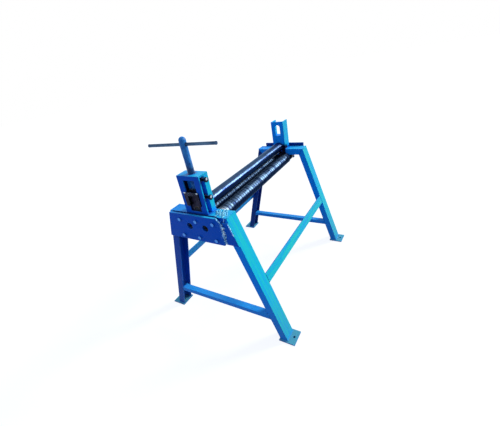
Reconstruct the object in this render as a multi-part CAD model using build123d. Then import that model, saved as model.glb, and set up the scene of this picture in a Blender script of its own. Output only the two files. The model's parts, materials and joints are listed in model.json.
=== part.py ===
from build123d import *
import math
import os

# Manual three-roll plate rolling machine on two welded A-frames.
# X runs along the rollers, with the pressure screw at the -X (near) end. -Y is the front,
# +Z is up, and the origin is on the floor at the middle of the footprint.

# Driving dimensions, in millimetres

# Welded end frames of channel steel
frame_length = 1130.0       # outer face to outer face of the two end frames
beam_top = 800.0            # upper face of the top beams
floor_spread = 860.0        # across the outer faces of the front and back legs, at the floor
top_spread = 380.0          # the same, at the beam top
channel_width = 80.0
channel_depth = 45.0
channel_web = 6.0
channel_flange = 7.0

# Feet
foot_width = 100.0
foot_toe = 45.0             # in front of the leg
foot_heel = 6.0             # behind the leg
foot_thick = 8.0
foot_hole_dia = 14.0
foot_hole_out = 23.0        # hole centre in front of the leg

# Angles and flat bars that tie the legs together
stretcher_width = 40.0
stretcher_height = 30.0
stretcher_wall = 5.0
stretcher_top = 181.0
rail_height = 60.0
rail_thick = 8.0
front_rail_top = 415.0
back_rail_top = 405.0

# Bolted end plates on packing bars, and the crossbar behind the near plate's lower edge
plate_thick = 12.0
packing = 8.0               # between the end frames and the end plates
packing_drop = 16.0         # packing bar below the beam top
near_plate_lip = 2.0        # near plate above the beam top
near_plate_edge = 25.0      # near plate below its lower bolt row
near_plate_seam = 157.0     # from the middle to the near plate's upright front edge
near_plate_corner = 26.0    # cut corner above that edge
seam_gap = 2.0              # between that edge and the cheek that is welded on beside it
cheek_drop = 25.0           # cheek below the beam top
cheek_thick = 8.0
near_plate_inset = 9.0      # near plate's back edge inside the back leg's outer face
journal_hole_dia = 38.0     # in the end plates, around the lower journals
far_plate_width = 326.0
far_plate_lip = 22.0        # far plate above the beam top
far_plate_drop = 50.0       # far plate's wide part below the beam top
far_tongue_inset = 8.0      # far plate's narrow part, inside the lower bosses' outer sides
bolt_pitch = 112.0
upper_bolt_drop = 32.0      # upper bolt row below the beam top
bolt_row_gap = 99.0
bolt_dia = 12.0
bolt_head_flats = 19.0
bolt_head_height = 8.0
crossbar_height = 40.0
crossbar_thick = 10.0

# Rollers
roller_gap = 10.0           # roller ends to the end frames
top_roller_dia = 70.0
lower_roller_dia = 76.0
roller_chamfer = 3.0
lower_centres = 105.0       # between the two lower roller axes
rest_rise = 88.0            # top roller axis above the lower axes, at rest
least_nip = 2.3             # top roller to lower rollers at the bottom of the travel
lift_up = 50.0              # travel of the top roller up from rest
shoulder_dia = 37.0
lower_journal_dia = 28.0
lower_journal_recess = 8.0  # journal end inside the end plate's face
top_journal_dia = 30.0
drive_square = 14.0
drive_depth = 30.0

# Bearings
boss_dia = 64.0
boss_rise = 22.5            # boss's flat top above the lower roller axis
boss_length = 45.0          # inside the end frame
lower_bush_dia = 34.0
top_bush_dia = 38.0
far_bush_dia = 35.0
block_above = 104.0         # near block above the roller axis
far_block_above = 85.0
near_block_width = 91.0
near_block_recess = 5.0     # near block's roller side inside the end frame
collar_dia = 50.0
collar_width = 12.0

# Near housing: guide plate, uprights, guide bars, bridge
housing_width = 144.0
housing_inset = 8.0         # guide plate inside the end frame's outer face
guide_plate_thick = 8.0
pocket = 30.0               # guide plate to uprights
upright_wall = 7.0
upright_slot = 52.0         # between the two uprights
guide_slot = 72.0           # in the guide plate
slot_cap = 25.0             # guide plate and far post above their slots
slot_foot = 12.0            # guide plate below its slot
guide_bar_thick = 8.0
bridge_thick = 10.0
guide_screw_dia = 16.0
guide_screw_length = 57.0
guide_head_flats = 24.0
guide_head_height = 10.0
guide_nut_height = 13.0
guide_screw_gap = 94.0      # between the upper and the lower guide screws

# Keeper on the near block
keeper_width = 92.0
keeper_mouth = 48.0
keeper_bar = 18.0
keeper_thick = 7.5
keeper_screw_dia = 8.0
keeper_screw_head_dia = 13.0
keeper_screw_head = 5.0
keeper_screw_pitch = 30.0
keeper_screw_length = 20.0

# Far post
far_post_width = 100.0
far_post_wall = 8.0
far_post_flange = 7.0
far_slot = 39.0

# Pressure screw, its nut and the clamp on its foot
screw_dia = 36.0
screw_inset = 46.0          # screw axis inside the frame's outer face
screw_stand = 183.0         # dome above the bridge
screw_neck_dia = 25.0
screw_foot_depth = 8.0
nut_dia = 47.0
nut_flange = 16.0           # nut below the bridge
clamp_length = 50.0
clamp_thick = 7.0
clamp_split = 0.4
clamp_screw_dia = 6.0
clamp_screw_head_dia = 10.0
clamp_screw_head = 4.0
clamp_screw_length = 15.0
clamp_screw_pitch_x = 38.0
clamp_screw_pitch_y = 34.0

# Tommy bar
tommy_dia = 16.0
tommy_length = 408.0
tommy_shift = 16.0          # bar's middle behind the screw's axis, as it was left at rest
tommy_turn = 4.3            # degrees between the bar and the Y axis, at rest
tommy_drop = 37.0           # bar axis below the screw's dome
tommy_end_dia = 18.0
tommy_end_width = 7.0

# Clearances
running = 0.05              # radial, shaft in bush and screw in nut
pressed = 0.02              # radial, bush in bore and screw shank in hole
sliding = 0.4               # between faces that slide past each other
bolt_play = 0.3             # radial, bolt in a plain hole
bar_play = 0.1              # radial, tommy bar in its cross hole
end_play = 0.5              # axial, roller shoulder to bearing
passing = 1.0               # moving piece past a fixed one that doesn't guide it
head_room = 3.0             # foot clamp to nut at the top of the travel
boss_room = 0.5             # boss below the beam
block_room = 1.5            # block above the lower bosses at the bottom of the travel
overrun = 1.0               # how far a cut reaches past the face it opens

# Places worked out from the driving dimensions

end_x = frame_length / 2
inner_x = end_x - channel_width
plate_back = end_x + packing
plate_x = plate_back + plate_thick
beam_bottom = beam_top - channel_depth
plate_top = beam_top + near_plate_lip
packing_top = beam_top - packing_drop
upper_bolt_z = beam_top - upper_bolt_drop
lower_bolt_z = upper_bolt_z - bolt_row_gap
plate_bottom = lower_bolt_z - near_plate_edge
lean = (floor_spread - top_spread) / 2 / beam_top
tilt = math.atan(lean)
leg_x = end_x - channel_width / 2

lower_y = lower_centres / 2
lower_z = beam_bottom - boss_room - boss_rise
upper_z = lower_z + rest_rise
roller_end = inner_x - roller_gap
least_rise = math.sqrt((top_roller_dia / 2 + lower_roller_dia / 2 + least_nip) ** 2 - lower_y ** 2)
lift_down = rest_rise - least_rise

block_top = upper_z + block_above
block_bottom = lower_z + boss_rise + block_room + lift_down
bridge_bottom = block_top + clamp_thick + lift_up + head_room + nut_flange
housing_top = bridge_bottom + bridge_thick
slot_top = housing_top - slot_cap
slot_bottom = beam_top + slot_foot
half_housing = housing_width / 2
guide_back = housing_inset + guide_plate_thick
pocket_end = guide_back + pocket
guide_bar_y = near_block_width / 2 + sliding
screw_x = screw_inset - end_x
screw_top = housing_top + screw_stand
tommy_z = screw_top - tommy_drop


def near(inset):
    """X of a face that lies inside the near frame's outer face."""
    return inset - end_x


def box(x, y, z):
    """A block between pairs of X, Y and Z limits."""
    size = [abs(pair[1] - pair[0]) for pair in (x, y, z)]
    middle = [(pair[0] + pair[1]) / 2 for pair in (x, y, z)]
    return Pos(*middle) * Box(*size)


def slab(points, x_from, x_to):
    """A flat outline in Y and Z, as thick as the given stretch of X."""
    face = Plane.YZ.offset(min(x_from, x_to)) * make_face(Polyline(*points, close=True))
    return extrude(face, amount=abs(x_to - x_from), dir=(1, 0, 0))


def rod_x(x_from, x_to, diameter, y=0.0, z=0.0):
    """A round bar along X."""
    length = abs(x_to - x_from)
    return Pos((x_from + x_to) / 2, y, z) * Rot(0, 90, 0) * Cylinder(diameter / 2, length)


def rod_y(y_from, y_to, diameter, x=0.0, z=0.0):
    """A round bar along Y."""
    length = abs(y_to - y_from)
    return Pos(x, (y_from + y_to) / 2, z) * Rot(90, 0, 0) * Cylinder(diameter / 2, length)


def rod_z(z_from, z_to, diameter, x=0.0, y=0.0):
    """A round bar along Z."""
    return Pos(x, y, (z_from + z_to) / 2) * Cylinder(diameter / 2, abs(z_to - z_from))


def hexagon(flats, height):
    """A hexagon bar centred on the origin, along Z."""
    outline = RegularPolygon(flats / 2, 6, major_radius=False)
    return Pos(0, 0, -height / 2) * extrude(outline, amount=height)


def hexagon_x(x_from, x_to, flats, y, z):
    """A hexagon bar along X."""
    length = abs(x_to - x_from)
    return Pos((x_from + x_to) / 2, y, z) * Rot(0, 90, 0) * hexagon(flats, length)


def hexagon_y(y_from, y_to, flats, x, z):
    """A hexagon bar along Y."""
    length = abs(y_to - y_from)
    return Pos(x, (y_from + y_to) / 2, z) * Rot(90, 0, 0) * hexagon(flats, length)


def mirrored(points, side):
    """An outline drawn for the front, or its mirror image at the back."""
    return [(-side * y, z) for y, z in points]


def leg_y(height, depth):
    """Y of the front leg at a height, at a depth inside its outer face."""
    return height * lean - floor_spread / 2 + depth / math.cos(tilt)


def leg_point(along, depth):
    """A point on the front leg, by distance up its outer face and depth inside it."""
    y = along * math.sin(tilt) + depth * math.cos(tilt) - floor_spread / 2
    return y, along * math.cos(tilt) - depth * math.sin(tilt)


def leg_band(depth):
    """The front leg's side view, from its outer face to a depth, mitred at the beam."""
    corner = beam_top - depth
    return [
        (leg_y(foot_thick, 0), foot_thick),
        (leg_y(beam_top, 0), beam_top),
        (leg_y(corner, depth), corner),
        (leg_y(foot_thick, depth), foot_thick),
    ]


def beam_band(depth):
    """The top beam's side view, from its upper face to a depth, mitred at both legs."""
    top = leg_y(beam_top, 0)
    corner = beam_top - depth
    below = leg_y(corner, depth)
    return [(top, beam_top), (-top, beam_top), (-below, corner), (below, corner)]


def channel(web_outline, flange_outline, end):
    """A channel with its web outwards and one flange on each face of an end frame."""
    outer = end * end_x
    inner = end * inner_x
    web = slab(web_outline, outer, inner)
    outer_flange = slab(flange_outline, outer, outer - end * channel_flange)
    inner_flange = slab(flange_outline, inner + end * channel_flange, inner)
    return web + outer_flange + inner_flange


def between_legs(z_from, z_to):
    """A cross member's front view, cut to fit between the legs' flanges."""
    low = leg_y(z_from, channel_depth)
    high = leg_y(z_to, channel_depth)
    return [(low, z_from), (high, z_to), (-high, z_to), (-low, z_from)]


def bolt_row(z):
    """Y and Z of one row of end plate bolts."""
    return [(step * bolt_pitch, z) for step in (-1, 0, 1)]


def make_leg(end, side):
    """One leg: end is -1 near or +1 far, side is -1 front or +1 back."""
    web = mirrored(leg_band(channel_web), side)
    flange = mirrored(leg_band(channel_depth), side)
    return channel(web, flange, end)


def make_beam(end, notches):
    """A top beam, notched on its inner side for the top roller's housing.

    Each notch is the distance inside the end frame where it starts, where it stops, and its width.
    """
    beam = channel(beam_band(channel_web), beam_band(channel_depth), end)
    height = (beam_bottom - overrun, beam_top + overrun)
    for start, stop, width in notches:
        beam -= box((end * (end_x - start), end * (end_x - stop)), (-width / 2, width / 2), height)
    thread_end = end * (end_x - channel_flange - overrun)
    for y, z in bolt_row(upper_bolt_z):
        beam -= rod_x(end * plate_x, thread_end, bolt_dia + 2 * pressed, y, z)
    return beam


def make_foot(end, side):
    """A foot plate with one floor bolt hole in front of its leg."""
    outer = leg_y(foot_thick, 0)
    inner = leg_y(foot_thick, channel_depth)
    half = foot_width / 2
    middle = end * leg_x
    depth = (-side * (outer - foot_toe), -side * (inner + foot_heel))
    foot = box((middle - half, middle + half), depth, (0, foot_thick))
    hole_y = -side * (outer - foot_hole_out)
    return foot - rod_z(-overrun, foot_thick + overrun, foot_hole_dia, middle, hole_y)


def make_stretcher(face_x):
    """A low angle between the front and back legs, with its flat leg on top."""
    top = between_legs(stretcher_top - stretcher_wall, stretcher_top)
    face = between_legs(stretcher_top - stretcher_height, stretcher_top)
    return slab(top, face_x, face_x + stretcher_width) + slab(face, face_x, face_x + stretcher_wall)


def make_rail(top, side):
    """A long flat bar between the end frames, flush with the legs' outer faces."""
    start = top / math.cos(tilt)
    outline = [
        leg_point(start, 0),
        leg_point(start, rail_thick),
        leg_point(start - rail_height, rail_thick),
        leg_point(start - rail_height, 0),
    ]
    return slab(mirrored(outline, side), -inner_x, inner_x)


def make_crossbar():
    """The flat bar between the near legs, tapped for the near plate's lower bolts."""
    half = crossbar_height / 2
    outline = between_legs(lower_bolt_z - half, lower_bolt_z + half)
    bar = slab(outline, near(0), near(crossbar_thick))
    for y, z in bolt_row(lower_bolt_z):
        bar -= rod_x(near(-overrun), near(crossbar_thick + overrun), bolt_dia + 2 * pressed, y, z)
    return bar


def bolted(plate, end, bolts):
    """A plate or bar on the outside of an end frame, with its bolt holes."""
    for y, z in bolts:
        plate -= rod_x(end * (end_x - overrun), end * (plate_x + overrun), bolt_dia + 2 * bolt_play, y, z)
    return plate


def drilled(plate, end, bolts):
    """An end plate with its bolt holes and the clearance holes of the lower journals."""
    for y in (-lower_y, lower_y):
        plate -= rod_x(end * (end_x - overrun), end * (plate_x + overrun), journal_hole_dia, y, lower_z)
    return bolted(plate, end, bolts)


def make_packing(end, half_width, heights):
    """The packing bars between an end frame and its end plate, one for each row of bolts."""
    bars = []
    for bolt_z, low, high in heights:
        bar = box((end * end_x, end * plate_back), (-half_width, half_width), (low, high))
        bars.append(bolted(bar, end, bolt_row(bolt_z)))
    return Compound(children=bars)


def make_near_plate(bolts):
    """The near end plate, bolted to the beam and the crossbar."""
    outline = [
        (-near_plate_seam, plate_bottom),
        (-near_plate_seam, plate_top - near_plate_corner),
        (near_plate_corner - near_plate_seam, plate_top),
        (-leg_y(plate_top, near_plate_inset), plate_top),
        (-leg_y(plate_bottom, near_plate_inset), plate_bottom),
    ]
    return drilled(slab(outline, -plate_x, -plate_back), -1, bolts)


def make_cheek():
    """The piece welded on beside the near end plate, flush with the front leg's outer face."""
    cheek_top = beam_top - cheek_drop
    seam = -near_plate_seam - seam_gap
    outline = [
        (seam, plate_bottom),
        (seam, cheek_top),
        (leg_y(cheek_top, 0), cheek_top),
        (leg_y(plate_bottom, 0), plate_bottom),
    ]
    return slab(outline, near(-cheek_thick), near(0))


def make_far_plate(bolts):
    """The far end plate: a wide bar on the beam with a narrow tongue for the lower bearings."""
    half = far_plate_width / 2
    tongue = lower_y + boss_dia / 2 - far_tongue_inset
    tongue_foot = lower_z - boss_dia / 2
    bar_bottom = beam_top - far_plate_drop
    plate = box((plate_back, plate_x), (-half, half), (bar_bottom, beam_top + far_plate_lip))
    plate += box((plate_back, plate_x), (-tongue, tongue), (tongue_foot, bar_bottom))
    return drilled(plate, 1, bolts)


def make_plate_bolts(end, bolts):
    """The hexagon bolts of one end plate."""
    head_x = end * (plate_x + bolt_head_height)
    tip_x = end * (end_x - channel_flange)
    made = []
    for y, z in bolts:
        head = hexagon_x(end * plate_x, head_x, bolt_head_flats, y, z)
        made.append(head + rod_x(end * plate_x, tip_x, bolt_dia, y, z))
    return Compound(children=made)


def tube_x(x_from, x_to, outside, inside, y, z):
    """A round tube along X."""
    return rod_x(x_from, x_to, outside, y, z) - rod_x(x_from, x_to, inside, y, z)


def make_boss(end, y):
    """The bearing boss behind an end plate, round below and flat under the beam."""
    x = (end * plate_back, end * (end_x - boss_length))
    half = boss_dia / 2
    boss = tube_x(x[0], x[1], boss_dia, lower_bush_dia + 2 * pressed, y, lower_z)
    above = (lower_z + boss_rise, lower_z + boss_dia)
    return boss - box(x, (y - half, y + half), above)


def make_lower_bush(end, y):
    """The bronze bush of a lower roller's journal."""
    inside = lower_journal_dia + 2 * running
    return tube_x(end * plate_back, end * (end_x - boss_length), lower_bush_dia, inside, y, lower_z)


def roller_body(diameter, y, z):
    """A roller's working face, with chamfered ends."""
    body = rod_x(-roller_end, roller_end, diameter, y, z)
    return chamfer(body.edges().filter_by(GeomType.CIRCLE), roller_chamfer)


def make_lower_roller(y):
    """A lower roller with its journals and a square drive socket at the near end."""
    shoulder = end_x - boss_length - end_play
    tip = plate_x - lower_journal_recess
    roller = roller_body(lower_roller_dia, y, lower_z)
    roller += rod_x(-shoulder, shoulder, shoulder_dia, y, lower_z)
    roller += rod_x(-tip, tip, lower_journal_dia, y, lower_z)
    half = drive_square / 2
    height = (lower_z - half, lower_z + half)
    return roller - box((-tip - overrun, drive_depth - tip), (y - half, y + half), height)


near_block_end = -inner_x - near_block_recess
far_block_start = inner_x + far_post_wall + sliding
collar_end = end_x - channel_flange - passing
collar_start = collar_end - collar_width
far_block_end = collar_start - end_play


def make_top_roller():
    """The smooth top roller with its journals."""
    near_shoulder = near_block_end + end_play
    far_shoulder = inner_x - end_play
    near_tip = near(guide_back + passing)
    roller = roller_body(top_roller_dia, 0, upper_z)
    roller += rod_x(near_shoulder, far_shoulder, shoulder_dia, 0, upper_z)
    return roller + rod_x(near_tip, collar_end, top_journal_dia, 0, upper_z)


def make_collar():
    """The shaft collar that keeps the far block on the top roller."""
    inside = top_journal_dia + 2 * pressed
    return tube_x(collar_start, collar_end, collar_dia, inside, 0, upper_z)


def make_upright(side):
    """One angle upright of the near housing: side is -1 front or +1 back."""
    face_x = near(pocket_end)
    rear_x = -inner_x
    wide = (side * upright_slot / 2, side * half_housing)
    thin = (side * (half_housing - upright_wall), side * half_housing)
    height = (beam_bottom, bridge_bottom)
    return box((face_x, face_x + upright_wall), wide, height) + box((face_x, rear_x), thin, height)


def make_guide_plate():
    """The outer plate of the near housing, slotted for the bearing block."""
    x = (near(housing_inset), near(guide_back))
    plate = box(x, (-half_housing, half_housing), (beam_top, housing_top))
    half = guide_slot / 2
    return plate - box((x[0] - overrun, x[1] + overrun), (-half, half), (slot_bottom, slot_top))


def guide_screw_places():
    """X and Z of the guide screws, which are all at the front of the near housing."""
    upper = bridge_bottom - guide_head_flats / 2 - end_play
    middle = near(guide_back + pocket / 2)
    return [(middle, upper), (middle, upper - guide_screw_gap)]


def make_guide_bar(side):
    """A guide bar beside the near bearing block. The front one is tapped for the guide screws."""
    limits = (side * guide_bar_y, side * (guide_bar_y + guide_bar_thick))
    bar = box((near(guide_back), near(pocket_end)), limits, (beam_top, bridge_bottom))
    if side > 0:
        return bar
    for x, z in guide_screw_places():
        bar -= rod_y(limits[0] + overrun, limits[1] - overrun, guide_screw_dia + 2 * pressed, x, z)
    return bar


def make_guide_screws():
    """The two set screws that take up the near block's side play."""
    screws = []
    seat = guide_head_height - guide_bar_y - guide_screw_length
    for x, z in guide_screw_places():
        shank = rod_y(-guide_bar_y, seat, guide_screw_dia, x, z)
        screws.append(shank + hexagon_y(seat, seat - guide_head_height, guide_head_flats, x, z))
    return Compound(children=screws)


def make_guide_nuts():
    """The lock nuts of the guide screws."""
    nuts = []
    seat = -guide_bar_y - guide_bar_thick
    for x, z in guide_screw_places():
        nut = hexagon_y(seat, seat - guide_nut_height, guide_head_flats, x, z)
        nuts.append(nut - rod_y(seat, seat - guide_nut_height, guide_screw_dia + 2 * pressed, x, z))
    return Compound(children=nuts)


def make_bridge():
    """The bridge plate on top of the near housing."""
    plate = box((near(guide_back), -inner_x), (-half_housing, half_housing), (bridge_bottom, housing_top))
    return plate - rod_z(bridge_bottom - overrun, housing_top + overrun, nut_dia + 2 * pressed, screw_x)


def make_screw_nut():
    """The bronze nut of the pressure screw, with a thick flange between the uprights."""
    nut = rod_z(bridge_bottom, housing_top, nut_dia, screw_x)
    nut_bottom = bridge_bottom - nut_flange
    nut += rod_z(nut_bottom, bridge_bottom, upright_slot - 2 * end_play, screw_x)
    return nut - rod_z(nut_bottom - overrun, housing_top + overrun, screw_dia + 2 * running, screw_x)


def make_far_post():
    """The far post, a channel open to the outside, with a slot for the far block."""
    half = far_post_width / 2
    height = (beam_bottom, housing_top)
    post = box((inner_x, inner_x + far_post_wall), (-half, half), height)
    for side in (-1, 1):
        flange = (side * (half - far_post_flange), side * half)
        post += box((inner_x, end_x - channel_flange), flange, (beam_bottom, beam_top))
        post += box((inner_x, end_x), flange, (beam_top, housing_top))
    radius = far_slot / 2
    low = upper_z - lift_down - end_play
    high = slot_top - radius
    cut = (inner_x - overrun, inner_x + far_post_wall + overrun)
    post -= box(cut, (-radius, radius), (low, high))
    for z in (low, high):
        post -= rod_x(cut[0], cut[1], far_slot, 0, z)
    return post


tongue_bottom = slot_bottom + lift_down + passing
mouth_top = block_top - keeper_bar
clamp_screw_places = [
    (screw_x + i * clamp_screw_pitch_x / 2, j * clamp_screw_pitch_y / 2) for i in (-1, 1) for j in (-1, 1)
]
keeper_screw_places = [(j * keeper_screw_pitch / 2, block_top - keeper_bar / 2) for j in (-1, 1)]
keeper_back = near(housing_inset) - sliding
keeper_front = keeper_back - keeper_thick


def make_near_block():
    """The near bearing block, with a tongue in the guide plate and one between the uprights."""
    body_front = near(guide_back + end_play)
    body_back = near(pocket_end - end_play)
    body_half = near_block_width / 2
    front_half = guide_slot / 2 - sliding
    rear_half = upright_slot / 2 - sliding
    mouth_half = keeper_mouth / 2
    height = (block_bottom, block_top)
    block = box((body_front, body_back), (-body_half, body_half), height)
    block += box((body_back, near_block_end), (-rear_half, rear_half), height)
    block += box((keeper_back, body_front), (-front_half, front_half), (tongue_bottom, block_top))
    mouth = (tongue_bottom - overrun, mouth_top)
    block -= box((keeper_back - overrun, body_front), (-mouth_half, mouth_half), mouth)
    bore = (body_front - overrun, near_block_end + overrun)
    block -= rod_x(bore[0], bore[1], top_bush_dia + 2 * pressed, 0, upper_z)
    open_top = block_top + overrun
    block -= rod_z(block_top - screw_foot_depth, open_top, screw_dia + 2 * sliding, screw_x)
    for x, y in clamp_screw_places:
        depth = block_top + clamp_thick - clamp_screw_length
        block -= rod_z(depth, open_top, clamp_screw_dia + 2 * pressed, x, y)
    for y, z in keeper_screw_places:
        tip = keeper_front + keeper_screw_length
        block -= rod_x(keeper_back - overrun, tip, keeper_screw_dia + 2 * pressed, y, z)
    return block


def make_near_bush():
    """The bronze bush of the top roller's near journal."""
    inside = top_journal_dia + 2 * running
    return tube_x(near(guide_back + end_play), near_block_end, top_bush_dia, inside, 0, upper_z)


def make_keeper():
    """The U-shaped keeper that holds the near block in the guide plate."""
    half = keeper_width / 2
    mouth = keeper_mouth / 2
    plate = box((keeper_front, keeper_back), (-half, half), (tongue_bottom, block_top))
    cut = (keeper_front - overrun, keeper_back + overrun)
    plate -= box(cut, (-mouth, mouth), (tongue_bottom - overrun, mouth_top))
    seat = keeper_front + keeper_screw_head
    for y, z in keeper_screw_places:
        plate -= rod_x(cut[0], cut[1], keeper_screw_dia + 2 * bolt_play, y, z)
        plate -= rod_x(cut[0], seat, keeper_screw_head_dia + 2 * bolt_play, y, z)
    return plate


def make_keeper_screws():
    """The two sunk screws of the keeper."""
    screws = []
    for y, z in keeper_screw_places:
        seat = keeper_front + keeper_screw_head
        head = rod_x(keeper_front, seat, keeper_screw_head_dia, y, z)
        screws.append(head + rod_x(seat, keeper_front + keeper_screw_length, keeper_screw_dia, y, z))
    return Compound(children=screws)


def make_foot_clamp():
    """The two half plates that hold the pressure screw's foot in the block."""
    half = clamp_length / 2
    edge = upright_slot / 2 - passing
    top = block_top + clamp_thick
    cut = (block_top - overrun, top + overrun)
    plates = []
    for side in (-1, 1):
        limits = (side * clamp_split / 2, side * edge)
        plate = box((screw_x - half, screw_x + half), limits, (block_top, top))
        plate -= rod_z(cut[0], cut[1], screw_neck_dia + 2 * bolt_play, screw_x)
        for x, y in clamp_screw_places:
            plate -= rod_z(cut[0], cut[1], clamp_screw_dia + 2 * bolt_play, x, y)
            plate -= rod_z(top - clamp_screw_head, cut[1], clamp_screw_head_dia + 2 * bolt_play, x, y)
        plates.append(plate)
    return Compound(children=plates)


def make_clamp_screws():
    """The four sunk screws of the foot clamp."""
    top = block_top + clamp_thick
    screws = []
    for x, y in clamp_screw_places:
        head = rod_z(top - clamp_screw_head, top, clamp_screw_head_dia, x, y)
        screws.append(head + rod_z(top - clamp_screw_length, top - clamp_screw_head, clamp_screw_dia, x, y))
    return Compound(children=screws)


def make_far_block():
    """The far bearing block behind the far post's web, with a tongue in the slot."""
    half = far_post_width / 2 - far_post_flange - passing
    tongue = far_slot / 2 - sliding
    top = upper_z + far_block_above
    block = box((far_block_start, far_block_end), (-half, half), (block_bottom, top))
    block += box((inner_x, far_block_start), (-tongue, tongue), (upper_z, top))
    block += rod_x(inner_x, far_block_start, 2 * tongue, 0, upper_z)
    bore = (inner_x - overrun, far_block_end + overrun)
    return block - rod_x(bore[0], bore[1], far_bush_dia + 2 * pressed, 0, upper_z)


def make_far_bush():
    """The bronze bush of the top roller's far journal."""
    return tube_x(inner_x, far_block_end, far_bush_dia, top_journal_dia + 2 * running, 0, upper_z)


def in_screw(shape):
    """A bar or hole drawn along Y, turned to where the pressure screw stands at rest."""
    return Pos(screw_x, 0, 0) * Rot(0, 0, tommy_turn) * shape


def make_pressure_screw():
    """The pressure screw: captive foot, neck, threaded length, dome and cross hole."""
    radius = screw_dia / 2
    foot_bottom = block_top - screw_foot_depth + bolt_play
    foot_top = block_top - end_play
    neck_top = block_top + clamp_thick + end_play
    screw = rod_z(foot_bottom, foot_top, screw_dia, screw_x)
    screw += rod_z(foot_top, neck_top, screw_neck_dia, screw_x)
    screw += rod_z(neck_top, screw_top - radius, screw_dia, screw_x)
    screw += Pos(screw_x, 0, screw_top - radius) * Sphere(radius)
    return screw - in_screw(rod_y(-screw_dia, screw_dia, tommy_dia + 2 * bar_play, 0, tommy_z))


def make_tommy_bar():
    """The loose tommy bar, with upset ends that keep it in the screw."""
    front = tommy_shift - tommy_length / 2
    back = tommy_shift + tommy_length / 2
    bar = rod_y(front, back, tommy_dia, 0, tommy_z)
    bar += rod_y(front, front + tommy_end_width, tommy_end_dia, 0, tommy_z)
    bar += rod_y(back - tommy_end_width, back, tommy_end_dia, 0, tommy_z)
    return in_screw(bar)


ends = {"near": -1, "far": 1}
sides = {"front": -1, "back": 1}
notch_end = channel_width + overrun
block_notch = near_block_width + 2 * passing
notches = {
    "near": [(guide_back, pocket_end, block_notch), (pocket_end, notch_end, housing_width)],
    "far": [(channel_flange, notch_end, far_post_width)],
}
stretcher_faces = {"near": -end_x, "far": inner_x}
bolts = {"near": bolt_row(upper_bolt_z) + bolt_row(lower_bolt_z), "far": bolt_row(upper_bolt_z)}
upper_packing = (upper_bolt_z, beam_bottom, packing_top)
lower_packing = (lower_bolt_z, lower_bolt_z - crossbar_height / 2, lower_bolt_z + crossbar_height / 2)

nodes = {
    "near_end_plate": make_near_plate(bolts["near"]),
    "near_plate_cheek": make_cheek(),
    "far_end_plate": make_far_plate(bolts["far"]),
    "near_plate_packing": make_packing(ends["near"], near_plate_seam, [upper_packing, lower_packing]),
    "far_plate_packing": make_packing(ends["far"], far_plate_width / 2, [upper_packing]),
    "near_crossbar": make_crossbar(),
}
for end_name, end in ends.items():
    nodes[f"{end_name}_beam"] = make_beam(end, notches[end_name])
    nodes[f"{end_name}_stretcher"] = make_stretcher(stretcher_faces[end_name])
    nodes[f"{end_name}_plate_bolts"] = make_plate_bolts(end, bolts[end_name])
    for side_name, side in sides.items():
        nodes[f"{end_name}_{side_name}_leg"] = make_leg(end, side)
        nodes[f"{end_name}_{side_name}_foot"] = make_foot(end, side)
        nodes[f"{end_name}_{side_name}_boss"] = make_boss(end, side * lower_y)
        nodes[f"{end_name}_{side_name}_bush"] = make_lower_bush(end, side * lower_y)

for side_name, side in sides.items():
    nodes[f"{side_name}_upright"] = make_upright(side)
    nodes[f"{side_name}_guide_bar"] = make_guide_bar(side)
    nodes[f"{side_name}_lower_roller"] = make_lower_roller(side * lower_y)

nodes["front_rail"] = make_rail(front_rail_top, sides["front"])
nodes["back_rail"] = make_rail(back_rail_top, sides["back"])
nodes["guide_plate"] = make_guide_plate()
nodes["guide_screws"] = make_guide_screws()
nodes["guide_screw_nuts"] = make_guide_nuts()
nodes["bridge_plate"] = make_bridge()
nodes["screw_nut"] = make_screw_nut()
nodes["far_post"] = make_far_post()
nodes["near_block"] = make_near_block()
nodes["near_block_bush"] = make_near_bush()
nodes["block_keeper"] = make_keeper()
nodes["keeper_screws"] = make_keeper_screws()
nodes["foot_clamp"] = make_foot_clamp()
nodes["clamp_screws"] = make_clamp_screws()
nodes["far_block"] = make_far_block()
nodes["far_block_bush"] = make_far_bush()
nodes["top_roller"] = make_top_roller()
nodes["top_roller_collar"] = make_collar()
nodes["pressure_screw"] = make_pressure_screw()
nodes["tommy_bar"] = make_tommy_bar()

os.makedirs("parts", exist_ok=True)
for name, shape in nodes.items():
    export_step(shape, f"parts/{name}.step")
print(f"{len(nodes)} nodes; roller axes at {lower_z:.1f} and {upper_z:.1f}, screw top {screw_top:.1f}")
print(f"top roller travels {lift_down:.2f} down and {lift_up:.2f} up")
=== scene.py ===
# %% [markdown]
# # A workshop-made plate rolling machine
#
# Two lower rollers turn in fixed bearings, and a hand screw presses a third down between them, so that
# flat plate comes out curved. The solids arrive already in place. This lesson gives every surface its
# finish and every small form its shape. Lengths are in metres, with the rollers along X, the front at
# -Y and the floor at Z = 0.

# %% Load the machine
import json
import random
from math import atan, cos, pi, radians, sin, sqrt, tau

import bmesh
import bpy
from mathutils import Matrix, Vector, noise

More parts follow.
